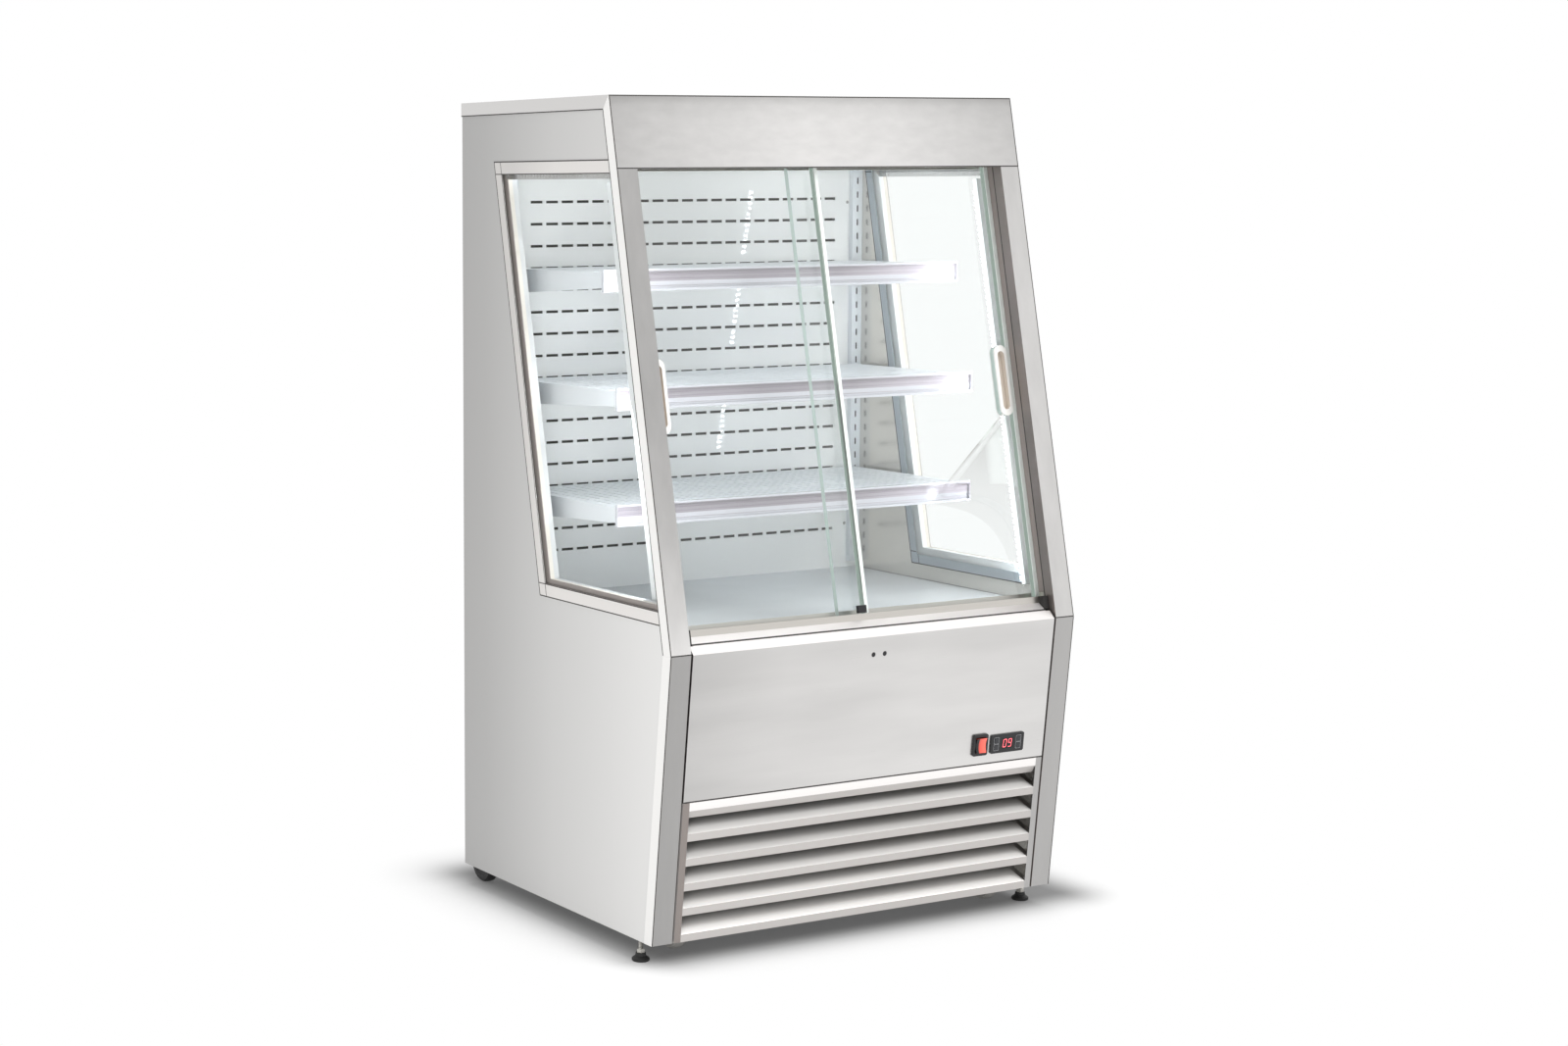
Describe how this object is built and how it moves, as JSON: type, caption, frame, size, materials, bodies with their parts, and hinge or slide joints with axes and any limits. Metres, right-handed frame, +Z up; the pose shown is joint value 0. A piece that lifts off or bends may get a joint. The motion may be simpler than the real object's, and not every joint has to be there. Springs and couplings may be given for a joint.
{
  "type": "multideck display fridge",
  "caption": "Slanted-front refrigerated multideck display cabinet with sliding glass doors, side windows, shelves, a slotted air panel, a louvred foot grille, castors and levelling feet.",
  "frame": {"origin": "on the floor, in the middle of the footprint of the whole cabinet with its rear wheels", "axes": "+X to the right as seen by a customer, +Y from the front to the back, +Z up; the customer stands on the -Y side"},
  "size_m": [0.9, 0.766, 1.535],
  "materials": {
    "side_paint": "satin",
    "liner_paint": "satin",
    "steel": "brushed",
    "zinc": "satin",
    "window_glass": "polished",
    "door_glass": "polished",
    "white_plastic": "satin",
    "clear_plastic": "polished",
    "light": "satin",
    "black_rubber": "matte",
    "black_plastic": "satin",
    "key_plastic": "satin",
    "red_plastic": "polished",
    "coil": "satin",
    "compressor_paint": "satin",
    "copper": "satin",
    "tray_plastic": "matte",
    "wheel_grey": "satin",
    "wheel_black": "satin",
    "foot_black": "matte"
  },
  "bodies": {
    "cabinet": {"side_wall_left": "side_paint", "side_wall_right": "side_paint", "rear_wall": "side_paint", "rear_grille": "side_paint", "air_panel": "liner_paint", "shelf_lower": "liner_paint", "shelf_middle": "liner_paint", "shelf_upper": "liner_paint", "shelf_brackets": "liner_paint", "shelf_uprights": "liner_paint", "floor_tub": "liner_paint", "roof_panel": "liner_paint", "top_cap": "steel", "fascia": "steel", "pillar_upper_left": "steel", "pillar_upper_right": "steel", "lower_pillars": "steel", "window_frames": "steel", "louvre_grille": "steel", "lower_front_panel": "steel", "deck": "steel", "base_pan": "zinc", "rear_castor_brackets": "zinc", "side_glass": "window_glass", "door_sill": "white_plastic", "bottom_track": "white_plastic", "top_track": "white_plastic", "price_rails": "clear_plastic", "led_strips": "light", "door_seals": "black_rubber", "panel_plugs": "black_plastic", "switch_bezel": "black_plastic", "thermostat_body": "black_plastic", "condenser": "coil", "evaporator": "coil", "compressor": "compressor_paint", "pipework": "copper", "drain_tray": "tray_plastic"},
    "door_left": {"door_left_glass": "door_glass", "door_left_frame": "white_plastic", "door_left_handle": "white_plastic"},
    "door_right": {"door_right_glass": "door_glass", "door_right_frame": "white_plastic", "door_right_handle": "white_plastic"},
    "power_rocker": {"switch_rocker": "red_plastic"},
    "key_1": {"thermostat_key_1": "key_plastic"},
    "key_2": {"thermostat_key_2": "key_plastic"},
    "key_3": {"thermostat_key_3": "key_plastic"},
    "key_4": {"thermostat_key_4": "key_plastic"},
    "condenser_rotor": {"condenser_fan": "black_plastic"},
    "evaporator_rotor_left": {"evaporator_fan_left": "black_plastic"},
    "evaporator_rotor_right": {"evaporator_fan_right": "black_plastic"},
    "castor_front_left": {"castor_fork_front_left": "zinc"},
    "castor_front_right": {"castor_fork_front_right": "zinc"},
    "wheel_front_left": {"castor_wheel_front_left": "wheel_grey"},
    "wheel_front_right": {"castor_wheel_front_right": "wheel_grey"},
    "wheel_rear_left": {"castor_wheel_rear_left": "wheel_black"},
    "wheel_rear_right": {"castor_wheel_rear_right": "wheel_black"},
    "foot_left": {"levelling_foot_left": "foot_black"},
    "foot_right": {"levelling_foot_right": "foot_black"}
  },
  "joints": [
    {"name": "door_left_slide", "type": "slide", "parent": "cabinet", "child": "door_left", "axis": [1, 0, 0], "range_m": [0, 0.385]},
    {"name": "door_right_slide", "type": "slide", "parent": "cabinet", "child": "door_right", "axis": [1, 0, 0], "range_m": [-0.362, 0]},
    {"name": "power_rocker_tilt", "type": "hinge", "parent": "cabinet", "child": "power_rocker", "pos_m": [0.25, -0.35422, 0.33843], "axis": [1, 0, 0], "range_deg": [-8, 8]},
    {"name": "key_1_press", "type": "slide", "parent": "cabinet", "child": "key_1", "axis": [0, 0.9941, 0.1081], "range_m": [0, 0.0008], "stiffness_N_per_m": 500},
    {"name": "key_2_press", "type": "slide", "parent": "cabinet", "child": "key_2", "axis": [0, 0.9941, 0.1081], "range_m": [0, 0.0008], "stiffness_N_per_m": 500},
    {"name": "key_3_press", "type": "slide", "parent": "cabinet", "child": "key_3", "axis": [0, 0.9941, 0.1081], "range_m": [0, 0.0008], "stiffness_N_per_m": 500},
    {"name": "key_4_press", "type": "slide", "parent": "cabinet", "child": "key_4", "axis": [0, 0.9941, 0.1081], "range_m": [0, 0.0008], "stiffness_N_per_m": 500},
    {"name": "condenser_fan_spin", "type": "hinge", "parent": "cabinet", "child": "condenser_rotor", "pos_m": [-0.15, -0.147, 0.237], "axis": [0, 1, 0], "continuous": true},
    {"name": "evaporator_fan_left_spin", "type": "hinge", "parent": "cabinet", "child": "evaporator_rotor_left", "pos_m": [-0.15, -0.095, 0.512], "axis": [0, 1, 0], "continuous": true},
    {"name": "evaporator_fan_right_spin", "type": "hinge", "parent": "cabinet", "child": "evaporator_rotor_right", "pos_m": [0.15, -0.095, 0.512], "axis": [0, 1, 0], "continuous": true},
    {"name": "castor_front_left_swivel", "type": "hinge", "parent": "cabinet", "child": "castor_front_left", "pos_m": [-0.35497, -0.223, 0.09], "axis": [0, 0, 1], "continuous": true},
    {"name": "wheel_front_left_roll", "type": "hinge", "parent": "castor_front_left", "child": "wheel_front_left", "pos_m": [-0.35497, -0.251, 0.039], "axis": [1, 0, 0], "continuous": true},
    {"name": "wheel_rear_left_roll", "type": "hinge", "parent": "cabinet", "child": "wheel_rear_left", "pos_m": [-0.402, 0.3455, 0.0375], "axis": [1, 0, 0], "continuous": true},
    {"name": "foot_left_turn", "type": "hinge", "parent": "cabinet", "child": "foot_left", "pos_m": [-0.433, -0.265, 0.02], "axis": [0, 0, 1], "continuous": true},
    {"name": "castor_front_right_swivel", "type": "hinge", "parent": "cabinet", "child": "castor_front_right", "pos_m": [0.35497, -0.223, 0.09], "axis": [0, 0, 1], "continuous": true},
    {"name": "wheel_front_right_roll", "type": "hinge", "parent": "castor_front_right", "child": "wheel_front_right", "pos_m": [0.35497, -0.251, 0.039], "axis": [1, 0, 0], "continuous": true},
    {"name": "wheel_rear_right_roll", "type": "hinge", "parent": "cabinet", "child": "wheel_rear_right", "pos_m": [0.402, 0.3455, 0.0375], "axis": [1, 0, 0], "continuous": true},
    {"name": "foot_right_turn", "type": "hinge", "parent": "cabinet", "child": "foot_right", "pos_m": [0.433, -0.265, 0.02], "axis": [0, 0, 1], "continuous": true}
  ]
}
